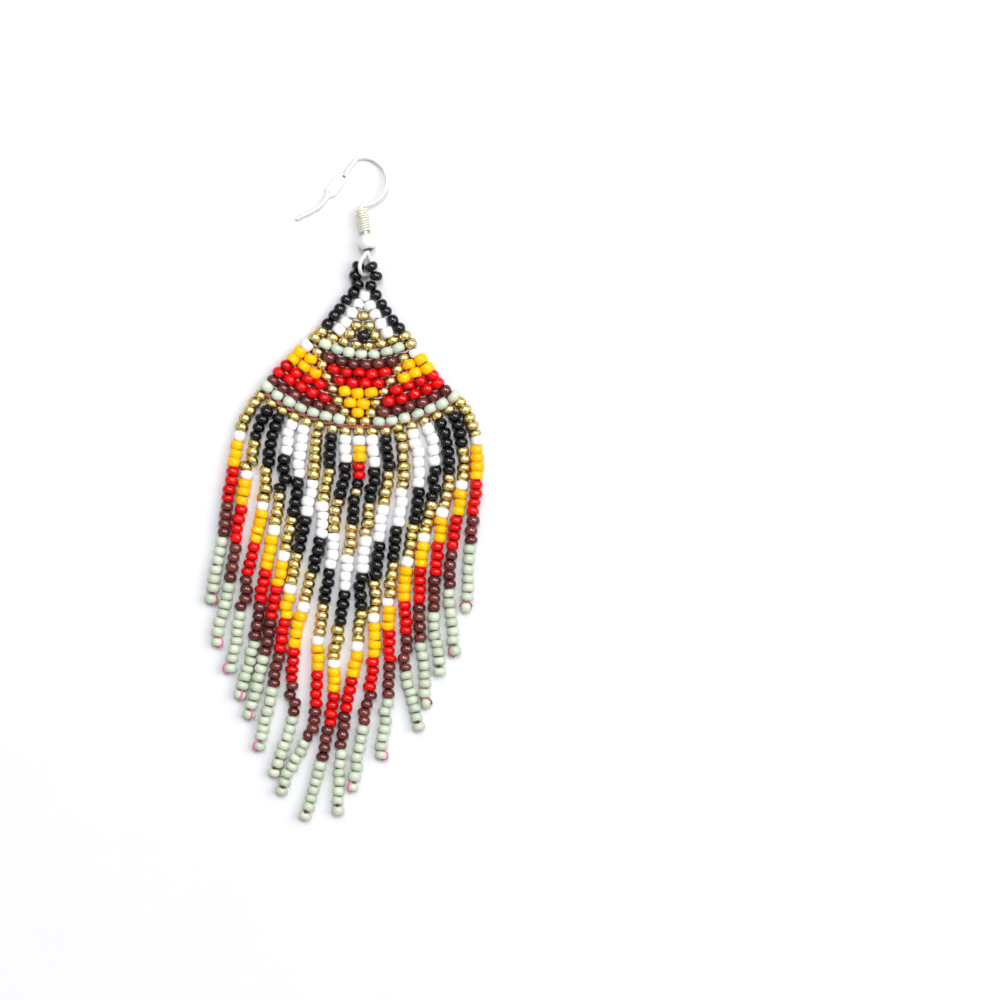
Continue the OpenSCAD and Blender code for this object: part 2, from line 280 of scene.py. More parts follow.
# the sage beads of the fan come from a paler batch
pale_sage = bead_finish("glass_pale_sage", (0.54, 0.61, 0.49), (0.60, 0.68, 0.55), gloss=0.12, spread=0.08,
                        hole=0.4, uneven=0.12, milk=0.1)
LETTERS = list(FINISHES)

# %% [markdown]
# ## One bead
# A seed bead is a slice of drawn glass tube, tumbled in the fire until its edges are round. A torus would be too
# round at its ends, so a closed outline is spun round the hole. Most batches have well rounded edges, and the
# white and orange ones keep more of the tube's flat side. A bead has only 90 faces, because there are hundreds,
# and smooth shading hides the facets.

# %% A helper that spins an outline, and the two forms
def spun(outline, steps):
    """A bmesh of a closed outline of radius and height, spun a full turn round Z."""
    bm = bmesh.new()
    verts = [bm.verts.new((radius, 0, z)) for radius, z in outline]
    edges = [bm.edges.new(pair) for pair in zip(verts, verts[1:] + verts[:1])]
    bmesh.ops.spin(bm, geom=verts + edges, cent=(0, 0, 0), axis=(0, 0, 1), angle=math.tau, steps=steps,
                   use_merge=True)
    bmesh.ops.recalc_face_normals(bm, faces=bm.faces)
    return bm

# columns: radius, height above the bead's middle, both as a share of half the bead's size
HALF_OUTLINES = {
    "round": [(0.34, 0.80), (0.46, 1.00), (0.75, 0.81), (0.93, 0.45), (1.00, 0.0)],
    "square": [(0.36, 0.84), (0.57, 1.00), (0.84, 0.84), (0.97, 0.45), (1.00, 0.0)],
}
BEAD_FORMS = {}
for form, half in HALF_OUTLINES.items():
    outline = half + [(radius, -z) for radius, z in reversed(half[:-1])]
    bm = spun(outline, 10)
    BEAD_FORMS[form] = bpy.data.meshes.new("bead_form_" + form)
    bm.to_mesh(BEAD_FORMS[form])
    bm.free()
    print("bead form", form, "faces", len(BEAD_FORMS[form].polygons))
FORM_OF = {letter: "square" if letter in "WO" else "round" for letter in LETTERS}

# %% Helpers that start a piece, set a bead in it and finish it
def start_beads():
    """An empty bmesh with the two numbers that the finishes read on each bead."""
    bm = bmesh.new()
    bm.verts.layers.float.new("bead_tint")
    bm.verts.layers.float.new("bead_end")
    return bm

def set_bead(bm, letter, centre, along, width, length, draw, tilt=6.0):
    """One bead with its middle and the direction of its hole, a little turned, never below the surface."""
    first, first_face = len(bm.verts), len(bm.faces)
    bm.from_mesh(BEAD_FORMS[FORM_OF[letter]])
    bm.verts.ensure_lookup_table()
    bm.faces.ensure_lookup_table()
    verts = bm.verts[first:]
    tint_layer, end_layer = bm.verts.layers.float["bead_tint"], bm.verts.layers.float["bead_end"]
    tint_value = draw.random()
    for v in verts:
        v[tint_layer] = tint_value
        v[end_layer] = 1 - v.co.xy.length
    for face in bm.faces[first_face:]:
        face.material_index = LETTERS.index(letter)
    radius = width / 2
    centre = Vector((centre.x, centre.y, max(centre.z, radius)))
    turn = along.to_track_quat("Z", "Y").to_matrix().to_4x4()
    lean = Matrix.Rotation(math.radians(draw.gauss(0, tilt)), 4, "X") @ Matrix.Rotation(
        math.radians(draw.gauss(0, tilt)), 4, "Y")
    place = Matrix.Translation(centre) @ turn @ lean @ Matrix.Rotation(draw.uniform(0, math.tau), 4, "Z")
    bmesh.ops.transform(bm, matrix=place @ Matrix.Diagonal((radius, radius, length / 2, 1)), verts=verts)
    lift = max(0, -min(v.co.z for v in verts))
    bmesh.ops.translate(bm, vec=UP * lift, verts=verts)

def finish_piece(name, bm, finishes, replaced=()):
    """Turns a bmesh in millimetres into a smooth piece in metres that rides on the one body."""
    for face in bm.faces:
        face.smooth = True
    bmesh.ops.scale(bm, vec=(MM, MM, MM), verts=bm.verts)
    mesh = bpy.data.meshes.new(name)
    bm.to_mesh(mesh)
    bm.free()
    for finish in finishes:
        mesh.materials.append(finish)
    piece = bpy.data.objects.new(name, mesh)
    scene.collection.objects.link(piece)
    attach(piece, "root")
    if replaced:
        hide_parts(*replaced)
    print(name, "faces", len(mesh.polygons))
    return piece

# %% [markdown]
# ## The fan
# Brick stitch sets every bead over the thread between two beads of the row above, so each row has one bead more
# and the rows curve round the fan's top. The beads could be scattered over the solid, but then their colours
# would make no pattern. So a chart gives each row's colours from left to right, and is easy to change.

# %% The chart of the fan
FAN_CHART = [
    "KK",
    "KWK",
    "KWWK",
    "KWGWK",
    "KWGGWK",
    "KWGKGWK",
    "GGGGGGGG",
    "GSSSSSSSG",
    "WGBBBBBBGW",
    "OOGRRRRRGOO",
    "OOOGRRRRGOOO",
    "RRRRGOOOGRRRR",
    "RRRRRGOOGRRRRR",
    "BBBBBBGOGBBBBBB",
    "SSSSSSSGGSSSSSSS",
    "GGGGGGGGGGGGGGGGG",
]
last_row = len(FAN_CHART) - 1
assert all(len(row) == k + 2 for k, row in enumerate(FAN_CHART))
print("beads in the fan", sum(map(len, FAN_CHART)))

# %% Places in the fan
# how each row has settled, from the top: sideways to the right, down, and its clockwise turn in degrees
ROW_SETTLED = [
    (0.05, 0.26, 6.5), (0.10, 0.25, 4.0), (0.00, 0.27, 5.0), (-0.05, 0.27, 1.6), (0.00, 0.35, 2.0),
    (0.08, 0.35, 1.0), (0.08, 0.26, 1.0), (0.00, 0.17, 1.2), (-0.25, 0.28, 1.6), (-0.30, 0.18, 1.4),
    (-0.33, 0.16, 1.5), (-0.46, 0.10, 1.7), (-0.55, 0.15, 1.7), (-0.36, 0.15, 1.2), (-0.10, 0.00, 1.0),
    (0.0, 0.0, 0.0),
]
assert len(ROW_SETTLED) == len(FAN_CHART)

def row_r(k):
    return first_row_r + k * row_pitch

def row_angle(k, i):
    """Angle of bead i in row k from straight down, in radians. The first two beads stand a little apart."""
    spacing = top_pair_spacing if k == 0 else first_spacing + k * spacing_growth
    return (i - (k + 1) / 2) * spacing / row_r(k)

def fan_point(radius, angle, z=0.0):
    """A point of the fan's even arcs, given from the fan's centre."""
    return fan_place + Vector((radius * math.sin(angle - fan_lean), -radius * math.cos(angle - fan_lean), z))

def settled(k, point):
    """The same point after its row has slipped and turned about the row's own middle."""
    right, down, turn = ROW_SETTLED[k]
    middle = fan_point(row_r(k), 0)
    return Matrix.Rotation(-math.radians(turn), 3, "Z") @ (point - middle) + middle + Vector((right, -down, 0))

print("fan's last row", round(row_r(last_row), 2), "mm from its centre")

# %% The beads of the fan
draw = random.Random(11)
bm = start_beads()
for k, row in enumerate(FAN_CHART):
    for i, letter in enumerate(row):
        angle = row_angle(k, i) + draw.gauss(0, 0.05) / row_r(k)
        centre = settled(k, fan_point(row_r(k) + draw.gauss(0, 0.06), angle, bead_d / 2))
        along = (centre - settled(k, fan_point(0, 0, bead_d / 2))).normalized()
        width, length = FAN_SIZE[letter]
        set_bead(bm, letter, centre, along, width * draw.uniform(*WIDTH_SPREAD),
                 length * draw.uniform(*FAN_LENGTH_SPREAD), draw, tilt=9.0)
fan_finishes = [pale_sage if letter == "S" else FINISHES[letter] for letter in LETTERS]
finish_piece("fan_beads", bm, fan_finishes, ["bead_fan"])

# %% [markdown]
# ## The fringe
# Each bead of the last row carries a string. All strings end in the same run of colours, and the nearer a
# string is to the middle, the more runs come before it. A straight string could be bent with a modifier, but
# that would bend its beads too. So the beads are threaded one by one along the routes of the solids: a few
# points each, joined by a smooth curve.

# %% The chart of the strings
TAIL = "G4 W1 O3 R4 B4 S7"
# the runs before the tail, from the middle string to the outer ones
HEADS = ["W1 O2 R2 K1 G1 K3 G4 W4 K4", "W3 K4 G4 W4 K4", "K4 G4 W4 K4", "G6 W4 K4", "W6 K4", "W4 K4", "K6",
         "K4", ""]
FOUR_ORANGE = (3, 4, 7, 11, 13, 17)
THREE_BROWN = 17

def string_letters(number):
    """The colours of one string from the fan downwards."""
    tail = TAIL.replace("O3", "O4") if number in FOUR_ORANGE else TAIL
    tail = tail.replace("B4", "B3") if number == THREE_BROWN else tail
    runs = (HEADS[abs(number - 9)] + " " + tail).split()
    return "".join(run[0] * int(run[1:]) for run in runs)

print("beads in the fringe", sum(len(string_letters(number)) for number in range(1, 18)))

# %% The routes of the strings
# for each string from left to right: points x, y from the fan's centre
STRING_ROUTES = [
    [(-21.4, -29), (-22.7, -34.5), (-24.5, -47), (-26.6, -58)],
    [(-18.7, -30), (-20.2, -36), (-22.1, -47.5), (-23.2, -54), (-25.6, -65.5)],
    [(-16.7, -34.5), (-17.5, -41.5), (-20.2, -53.5), (-23.2, -70)],
    [(-13.7, -32.5), (-14.5, -39), (-18, -58), (-18.8, -64.5), (-21.7, -74.5)],
    [(-11.5, -37), (-12.2, -43), (-15, -55), (-17.2, -67), (-19.8, -78)],
    [(-9, -37), (-12.6, -55), (-15.6, -71), (-18.2, -83.5)],
    [(-6.2, -35), (-7.4, -46.5), (-10.4, -58), (-12.1, -65), (-12.6, -73.5), (-12.3, -77), (-15.5, -88)],
    [(-3.5, -35), (-5.4, -46), (-5.9, -52.3), (-7.6, -62), (-8.6, -77), (-9.2, -81.3), (-10.5, -82.9),
     (-14.6, -91)],
    [(-1, -36), (-2.8, -50), (-4.3, -62), (-5.3, -68.5), (-5.3, -73.5), (-7.3, -85), (-10.2, -95.5)],
    [(1.6, -34.5), (0.1, -46.5), (-1.2, -65), (-4, -82), (-4.6, -94.5)],
    [(4.1, -35), (2.4, -47.5), (1.6, -60), (1.6, -67), (0.1, -77), (-2.1, -90.5)],
    [(6.6, -38), (4.8, -51), (4, -62), (4.3, -68.5), (2.8, -85)],
    [(9.3, -38), (6.8, -56), (7.1, -63.5), (7, -70), (9.4, -80)],
    [(12, -34), (11.6, -40.5), (10, -48), (9.3, -58), (10.6, -76)],
    [(14.5, -35), (13, -46.5), (11.8, -59.5), (12.9, -70.5)],
    [(16.7, -31), (16.9, -38), (15, -49), (14.5, -55.5), (15.4, -67)],
    [(18.9, -29.5), (19.2, -37), (18.1, -48), (17.6, -59.5)],
]
fan_outer, tube_gap = row_r(last_row) + 0.75, 0.15

# %% A smooth curve through a route
def smooth_route(points, first_dir, step=0.25):
    """Points every quarter of a millimetre on the curve through a route, leaving its start along first_dir."""
    ways = [first_dir]
    for a, b, c in zip(points, points[1:], points[2:]):
        ways.append(((b - a).normalized() + (c - b).normalized()).normalized())
    ways.append((points[-1] - points[-2]).normalized())
    line = [points[0]]
    for a, b, da, db in zip(points, points[1:], ways, ways[1:]):
        length = (b - a).length
        count = math.ceil(length / step)
        for j in range(1, count + 1):
            t = j / count
            line.append(a * (2 * t**3 - 3 * t**2 + 1) + b * (3 * t**2 - 2 * t**3)
                        + da * length * (t**3 - 2 * t**2 + t) + db * length * (t**3 - t**2))
    return line

class Route:
    """A line of points that can be asked for its place and direction at a length along it."""
    def __init__(self, line):
        self.line = line
        self.at = [0.0]
        for a, b in zip(line, line[1:]):
            self.at.append(self.at[-1] + (b - a).length)
        self.length = self.at[-1]

    def place(self, s):
        """The point and the direction at a length along the line."""
        i = max(1, next((j for j, v in enumerate(self.at) if v >= s), len(self.at) - 1))
        a, b = self.line[i - 1], self.line[i]
        t = (s - self.at[i - 1]) / (self.at[i] - self.at[i - 1])
        return a + (b - a) * t, (b - a).normalized()

# %% Where the runs of colour end
# by string: length in mm to the last bead of its first run, and to its last black, white, red and brown bead
RUN_ENDS = [
    (5.4, 0.0, 7.0, 17.9, 23.8), (5.3, 5.3, 12.2, 23.2, 30.1), (8.4, 8.4, 16.1, 27.7, 33.8),
    (5.2, 11.7, 19.1, 31.0, 37.6), (8.2, 14.8, 22.7, 33.1, 39.4), (7.7, 20.5, 27.8, 38.1, 44.2),
    (5.1, 23.4, 30.4, 42.8, 48.6), (3.9, 28.4, 35.7, 46.4, 52.5), (0.7, 32.0, 39.4, 49.5, 55.6),
    (4.4, 29.2, 36.3, 47.0, 53.5), (5.2, 24.1, 31.6, 43.5, 49.4), (8.9, 21.4, 29.3, 39.0, 45.1),
    (9.2, 15.5, 23.0, 34.8, 41.2), (6.2, 12.4, 19.7, 30.1, 36.9), (8.8, 8.8, 16.3, 26.5, 32.6),
    (5.2, 5.2, 12.7, 23.1, 29.9), (5.1, 0.0, 6.3, 18.4, 23.5),
]
print("last brown bead of each string", [ends[-1] for ends in RUN_ENDS])

# %% Threading one string
first_bead_step, end_bead_step = 1.55, 1.76

def string_route(number):
    """The middle line of one string, from just under the fan to its end bead."""
    way = (fan_point(1, row_angle(last_row, number - 1)) - fan_place).normalized()
    start_point = fan_place + way * (fan_outer + tube_gap)
    points = [start_point] + [fan_place + Vector((x, y, 0)) for x, y in STRING_ROUTES[number - 1]]
    return Route(smooth_route(points, way))

def bead_stations(number):
    """Length along the route of each bead of a string, and each bead's own length."""
    draw = random.Random(200 + number)
    letters = string_letters(number)
    lengths = [PITCH[letter] * draw.uniform(*STRING_LENGTH_SPREAD) for letter in letters]
    steps = [(a + b) / 2 for a, b in zip(lengths, lengths[1:])]
    steps[-1] = end_bead_step
    # the first bead, the ends of the runs and the end bead have known places, and the others spread between them
    first_run = len(letters) - len(letters.lstrip(letters[0]))
    first_end, *later_ends = RUN_ENDS[number - 1]
    known = {0: row_r(last_row) + first_bead_step - (fan_outer + tube_gap), first_run - 1: first_end,
             len(letters) - 1: string_route(number).length}
    for letter, length in zip("KWRB", later_ends):
        if letter in letters:
            known[letters.rindex(letter)] = length
    known = sorted(known.items())
    stations = [known[0][1]]
    for (i, s), (j, t) in zip(known, known[1:]):
        fit = (t - s) / sum(steps[i:j])
        for k in range(i, j):
            stations.append(stations[k] + steps[k] * fit)
            lengths[k] *= fit
    return letters, stations, lengths

print("string 1", [round(s, 1) for s in bead_stations(1)[1]])

# %% Beads that sit off their line
# by string: bead from the top, how far to the right in mm, clockwise turn in degrees
OFF_LINE = {
    1: [(7, 0.3, 0), (9, 0.35, 0), (10, 0.35, 0)],
    2: [(7, 0.35, 20), (8, -0.55, 30)],
    3: [(21, 0.4, 0), (22, 0.45, 0)],
    4: [(7, 0.45, 0)],
    7: [(5, 0.3, 0), (7, -0.35, 0), (8, -0.4, 0), (9, -0.6, 0), (10, -0.3, 0), (11, -0.2, 0), (12, 0.2, 0),
        (31, -0.3, 0), (32, 0.2, 0)],
    8: [(5, 0.3, 0), (6, 0.3, 0), (7, 0.2, 0), (35, -0.3, 35)],
    9: [(6, -0.3, 0), (7, -0.3, 0), (8, -0.4, 0), (9, -0.3, 0), (10, -0.2, 0), (11, -0.3, 0)],
    10: [(5, 0.3, 0), (17, -0.3, 0), (18, -0.2, 0)],
    11: [(1, -0.3, 0), (2, -0.35, 0), (7, -0.35, 0), (11, 0.25, 0), (30, 0.45, -25)],
    12: [(7, -0.3, 0)],
    13: [(1, -0.3, 0), (2, -0.3, 0)],
    14: [(1, 0.2, 0), (2, 0.25, 0), (3, 0.3, 0), (31, 0, -65)],
    17: [(23, 0, -90)],
}
off_line = {(string, bead): (aside, turn) for string, rows in OFF_LINE.items() for bead, aside, turn in rows}
print("beads off their line", len(off_line))

# %% Where the beads of the fringe lie
fringe = {}
draw = random.Random(7)
for number in range(1, 18):
    route = string_route(number)
    letters, stations, lengths = bead_stations(number)
    fringe[number] = []
    for i, (letter, s, length) in enumerate(zip(letters, stations, lengths)):
        point, way = route.place(s)
        aside, turn = off_line.get((number, i + 1), (0, 0))
        centre = point + Vector((-way.y, way.x, 0)) * (aside + draw.gauss(0, 0.10))
        way = Matrix.Rotation(-math.radians(turn), 3, "Z") @ way
        radius = WIDTH[letter] / 2 * draw.uniform(*WIDTH_SPREAD)
        fringe[number].append(SimpleNamespace(letter=letter, centre=centre, way=way, radius=radius,
                                              length=length + REACH[letter]))

# %% Beads of neighbouring strings push each other aside
nearest = 0.97  # share of their radii that the middles of two touching beads keep apart

def push_apart(left, right):
    """Moves each pair of beads that would run into each other apart by half of their overlap."""
    moved = 0
    for a in left:
        for b in right:
            away = b.centre - a.centre
            overlap = (a.radius + b.radius) * nearest - away.length
            if overlap > 0:
                a.centre -= away.normalized() * overlap / 2
                b.centre += away.normalized() * overlap / 2
                moved += 1
    return moved

for step in range(6):
    moved = sum(push_apart(fringe[number], fringe[number + 1]) for number in range(1, 17))
    print("pairs pushed apart", moved)

# %% The beads of the fringe
for number, beads in fringe.items():
    draw = random.Random(100 + number)
    bm = start_beads()
    for bead in beads:
        set_bead(bm, bead.letter, bead.centre, bead.way, 2 * bead.radius, bead.length, draw, tilt=5.0)
    finish_piece(f"string_{number:02d}_beads", bm, FINISHES.values(), [f"string_{number:02d}"])

# %% [markdown]
# ## The thread
# One waxed thread of rose pink nylon runs through everything. In the fan it steps from hole to hole between two
# rows, and more of it lies low between the beads, pale near the top. Further down that low thread is thick and
# painted dark: painted shade in the gaps and grooves. It runs down each string, goes round the wall of the end
# bead and comes back up; where only its hole shows, the thread there is painted dark as the shade in the hole.
# A curve with a bevel could draw it, but a circle swept along its line closes its ends and needs few faces.

# %% The finishes of the thread: worn and pale in the fan, rose in its last row, bright pink on some end beads, dark for painted shade
def thread_finish(name, dark, pale):
    """A waxed thread whose fibres go from a dark dye to a pale one."""
    finish, tree, body = new_finish(name)
    fibre = noise(tree, 900.0, 6.0)
    tree.links.new(mixed(tree, fibre, (*dark, 1), (*pale, 1)), body.inputs["Base Color"])
    add_relief(tree, body, fibre, strength=0.5, depth=0.03)
    body.inputs["Roughness"].default_value = 0.55
    body.inputs["Sheen Weight"].default_value = 0.3
    return finish

pale_thread = thread_finish("thread_pale", (0.50, 0.46, 0.48), (0.80, 0.77, 0.79))
worn_thread = thread_finish("thread_worn", (0.40, 0.20, 0.22), (0.86, 0.66, 0.68))
# painted shade: a thread finish dark enough to stand for the shade low in the fan and in the holes of end beads
shade_painted_thread = thread_finish("thread_dark", (0.06, 0.01, 0.01), (0.20, 0.05, 0.05))
rose_thread = thread_finish("thread_rose", (0.26, 0.05, 0.07), (0.56, 0.20, 0.24))
pink_thread = thread_finish("thread_pink", (0.62, 0.05, 0.20), (0.90, 0.26, 0.45))

# %% Helpers that draw thread and wire
def ring_place(line, i, half_width, half_height):
    """Placement of the round section at point i of a line, square to the line."""
    way = (line[min(i + 1, len(line) - 1)] - line[max(i - 1, 0)]).normalized()
    across = way.cross(UP)
    across = across.normalized() if across.length > 1e-4 else Vector((1, 0, 0))
    up = across.cross(way)
    turn = Matrix((across * half_width, up * half_height, way)).transposed().to_4x4()
    return Matrix.Translation(line[i]) @ turn

def sweep(bm, places, sides):
    """A closed tube: a circle at the first placement is extruded from each placement to the next."""
    ring = bmesh.ops.create_circle(bm, cap_ends=True, segments=sides, radius=1, matrix=places[0])["verts"]
    edges = list({edge for v in ring for edge in v.link_edges})
    for before, after in zip(places, places[1:]):
        made = bmesh.ops.extrude_edge_only(bm, edges=edges)["geom"]
        ring = [e for e in made if isinstance(e, bmesh.types.BMVert)]
        fresh = set(ring)
        edges = [e for e in made if isinstance(e, bmesh.types.BMEdge) and set(e.verts) <= fresh]
        bmesh.ops.transform(bm, matrix=after @ before.inverted(), verts=ring)
    bmesh.ops.edgeloop_fill(bm, edges=edges)

def sweep_round(bm, line, radius, sides):
    """A closed round tube along a line of points."""
    sweep(bm, [ring_place(line, i, radius, radius) for i in range(len(line))], sides)

def draw_thread(name, lines, finish, radius):
    """One piece of thread along several lines of points."""
    bm = bmesh.new()
    for line in lines:
        sweep_round(bm, line, radius, 6)
    bmesh.ops.recalc_face_normals(bm, faces=bm.faces)
    finish_piece(name, bm, [finish])

# %% The thread between the fan's rows, two passes side by side: its colour has gone in the narrow top rows
thread_r, thread_z, pass_aside, hole_end = 0.15, 0.95, 0.13, 0.72

def row_thread(k, aside, height):
    """The thread's steps from hole to hole between row k and the next."""
    line = []
    for i in range(k + 2):
        upper = row_angle(k, i) + aside / row_r(k)
        line.append(settled(k, fan_point(row_r(k) + hole_end, upper, height)))
        if i < k + 1:
            lower = (row_angle(k, i) + row_angle(k, i + 1)) / 2 + aside / row_r(k)
            line.append(settled(k + 1, fan_point(row_r(k + 1) - hole_end, lower, height)))
    return line

for name, rows, finish in [("top_thread", range(6), pale_thread),
                           ("fan_thread", range(6, last_row - 1), worn_thread)]:
    lines = [row_thread(k, aside, thread_z) for k in rows for aside in (-pass_aside, pass_aside)]
    draw_thread(name, lines, finish, thread_r)

# %% The thread low in the fan, between its rows and in the grooves between beads, painted dark below the top rows as shade
under_r, under_z, groove_z, groove_half = 0.36, 0.62, 0.5, 0.8

def groove_thread(k):
    """Short lengths that lie in the grooves between the beads of row k, from the row above to the row below."""
    middles = [(row_angle(k, i) + row_angle(k, i + 1)) / 2 for i in range(k + 1)]
    return [[settled(k, fan_point(row_r(k) + out, angle, groove_z)) for out in (-groove_half, 0.0, groove_half)]
            for angle in middles]

# below the top rows this low thread is thick and dark: painted shade in the gaps between the rows and in the
# grooves between the beads
for name, first, last, finish in [("top_under_thread", 0, 5, pale_thread),
                                  ("under_thread", 6, last_row - 1, shade_painted_thread)]:
    lines = [row_thread(k, 0.0, under_z) for k in range(first, last + 1)]
    lines += [line for k in range(first + 1, last + 1) for line in groove_thread(k)]
    draw_thread(name, lines, finish, under_r)

# %% The rose thread that the last row hangs on, drawn along the seam between the last two rows
seam_r = (row_r(last_row - 1) + row_r(last_row)) / 2
seam_z, seam_thread_r, wobble, seam_steps = 1.18, 0.19, 0.05, 60
first_angle, last_angle = row_angle(last_row, 0), row_angle(last_row, last_row + 1)
lines = []
for aside in (-0.16, 0.16):
    line = []
    for i in range(seam_steps + 1):
        angle = first_angle + (last_angle - first_angle) * i / seam_steps
        line.append(fan_point(seam_r + aside + wobble * math.sin(2.3 * i), angle,
                              seam_z + wobble * math.sin(1.7 * i)))
    lines.append(line)
draw_thread("last_row_thread", lines, rose_thread, seam_thread_r)

# %% The thread in the strings
core_r, turn_r, hole_thread_r = 0.1, 0.17, 0.28
# how the thread comes round each end bead: degrees (0 on its right, 90 on top, 180 on its left), and whether it
# runs round the bead, only shows above its hole or arches over a bead that has turned across
END_THREADS = {
    1: (14, "round"), 2: (30, "round"), 3: (160, "round"), 4: (70, "round"), 5: (58, "round"), 6: (158, "round"),
    7: (100, "hole"), 8: (90, "hole"), 9: (90, "hole"), 10: (95, "hole"), 11: (130, "round"), 12: (25, "round"),
    13: (85, "hole"), 14: (38, "arch"), 15: (90, "hole"), 16: (160, "round"), 17: (38, "arch"),
}
ROSE_ENDS = (1, 14, 16, 17)

for number, beads in fringe.items():
    end, way = beads[-1], beads[-1].way
    half = end.length / 2
    core = [fan_point(row_r(last_row) + 0.3, row_angle(last_row, number - 1), bead_d / 2)]
    core += [Vector((bead.centre.x, bead.centre.y, bead.radius)) for bead in beads]
    turn, kind = END_THREADS[number]
    # the thread over a hole is painted dark: painted shade in the hole
    finish = rose_thread if number in ROSE_ENDS else shade_painted_thread if kind == "hole" else pink_thread
    across = Vector((-way.y, way.x, 0)) * math.cos(math.radians(turn)) + UP * math.sin(math.radians(turn))
    # columns: share of the bead's radius, length along the string from the bead's middle
    back_in = [(1.04, half * 0.4), (0.80, half * 0.86), (0.3, half + 0.14), (0.0, half * 0.8)]
    course = {
        "round": [(0.0, -half - 0.5), (0.35, -half - 0.12), (0.78, -half * 0.86), (1.02, -half * 0.45), *back_in],
        "arch": [(0.0, -half * 0.8), (0.3, -half - 0.14), (0.80, -half * 0.86), (1.04, -half * 0.4), *back_in],
        "hole": [(0.0, -half - 0.5), (0.45, -half - 0.28), (0.68, -half), (0.60, -half + 0.25),
                 (0.2, -half + 0.3)],
    }[kind]
    loop = [core[-1] + across * (end.radius * out) + way * s for out, s in course]
    draw_thread(f"string_{number:02d}_thread", [core], worn_thread, core_r)
    draw_thread(f"string_{number:02d}_end", [loop], finish, hole_thread_r if kind == "hole" else turn_r)

# %% [markdown]
# ## The bead loop
# Four black beads make the loop that the hook's eye hangs in. On the right they stand higher, because the eye
# passes under them, and on the left the eye lies over them. They could be threaded on a route, but four places
# in a table say more plainly which bead goes over the wire.

# %% Loop beads
# columns: x, y from the fan's centre, height, then the direction of the hole as x, y
LOOP_BEADS = [
    (-1.62, -2.32, 1.05, 0.15, 1.0),
    (-1.12, -0.74, 1.10, 0.50, 1.0),
    (1.95, -2.48, 1.85, 0.00, 1.0),
    (1.15, -0.90, 2.10, -0.50, 1.0),
]
draw = random.Random(31)
bm = start_beads()
for x, y, z, way_x, way_y in LOOP_BEADS:
    way = Vector((way_x, way_y, 0)).normalized()
    set_bead(bm, "K", fan_place + Vector((x, y, z)), way, WIDTH["K"], PITCH["K"], draw)
finish_piece("loop_beads", bm, FINISHES.values(), ["bead_loop"])

# %% [markdown]
# ## Silver
# The hook, coil and ball are plated with bright silver. A picture of scratches would have to be unwrapped round
# thin wire. Noise in space needs no unwrapping, and gives fine drawing marks, faint clouds of tarnish and a
# slightly uneven mirror.

# %% The silver finish
silver, start, end = shader_group(
    "silver_plate",
    [("Plate", COLOUR, (0.99, 0.98, 0.94, 1)), ("Clouds", NUMBER, 0.3), ("Fineness", NUMBER, 900.0)],
    [("Colour", COLOUR), ("Roughness", NUMBER), ("Height", NUMBER)])
clouds = noise(silver, start.outputs["Fineness"], 5.0)
patch = add_node(silver, "ShaderNodeMapRange", Value=clouds, From_Min=0.5, From_Max=0.8)
amount = arithmetic(silver, "MULTIPLY", patch.outputs[0], start.outputs["Clouds"])
marks = noise(silver, 4000.0, 3.0)
tarnished = mixed(silver, amount, start.outputs["Plate"], (0.84, 0.80, 0.66, 1))
silver.links.new(tarnished, end.inputs["Colour"])
silver.links.new(arithmetic(silver, "MULTIPLY_ADD", marks, 0.10, 0.52), end.inputs["Roughness"])
silver.links.new(marks, end.inputs["Height"])

def silver_finish(name, clouds, fineness, metal, plate=(0.99, 0.98, 0.94)):
    """A silver finish: its share of tarnish clouds, how fine they are, and the colour of the plate."""
    finish, tree, body = new_finish(name)
    body.inputs["Metallic"].default_value = metal
    coat = add_node(tree, "ShaderNodeGroup", {"node_tree": silver}, Plate=(*plate, 1), Clouds=clouds,
                    Fineness=fineness)
    tree.links.new(coat.outputs["Colour"], body.inputs["Base Color"])
    tree.links.new(coat.outputs["Roughness"], body.inputs["Roughness"])
    add_relief(tree, body, coat.outputs["Height"])
    return finish

wire_silver = silver_finish("silver_wire", 0.3, 900.0, 0.75)
coil_silver = silver_finish("silver_coil", 0.5, 1200.0, 0.8, plate=(0.96, 0.95, 0.82))
ball_silver = silver_finish("silver_ball", 0.1, 500.0, 0.5, plate=(0.97, 0.96, 0.96))
# painted shade: a dark silver for the shade in the plate's dent and round the ball's upper hole
shade_painted_silver = silver_finish("silver_dull", 0.6, 1500.0, 1.0, plate=(0.30, 0.29, 0.25))

# %% [markdown]
# ## The hook
# The hook is one wire, bent on pegs. The eye stands on the surface and props up the ball, and from there the
# hook's plane tips down to the bend and the tail. So it is drawn flat, in its own plane, and then moved into
# place with one matrix. A curve with a bevel has the same section all along. Swept rings can be flattened where
# the wire is pressed, and the plate itself is a sheet of its own round them.

# %% The hook's plane and its sizes
ball_at, eye_at = Vector((0.43, 3.28, 0)), Vector((0.12, -0.45, 0))
hook_z = 1.93889  # height of the ball's middle with the eye on the surface
hook_roll, hook_pitch, stem_lean = map(math.radians, (5.350, 5.352, 10.5))
hook_plane = (Matrix.Translation(fan_place + ball_at + UP * hook_z) @ Matrix.Rotation(-hook_roll, 4, "Y")
              @ Matrix.Rotation(-hook_pitch, 4, "X") @ Matrix.Rotation(stem_lean, 4, "Z"))
ball_d, coil_d, coil_wire_d, coil_turns = 3.1, 2.2, 0.41, 9
coil_start, coil_pitch = ball_d / 2 + 0.05, coil_wire_d + 0.031
coil_end = coil_start + coil_turns * coil_pitch + coil_wire_d
corner_r, bend_r, knee_r, ankle_r = 0.42, 4.2, 0.9, 2.0
arm_slope, tail_slope = map(math.radians, (42, 17))
arm_len, tail_len, plate_start, plate_len, plate_w, plate_t = 10.0, 3.6, 3.2, 4.6, 1.9, 0.4
print("coil ends", round(coil_end, 2), "mm above the ball's middle")

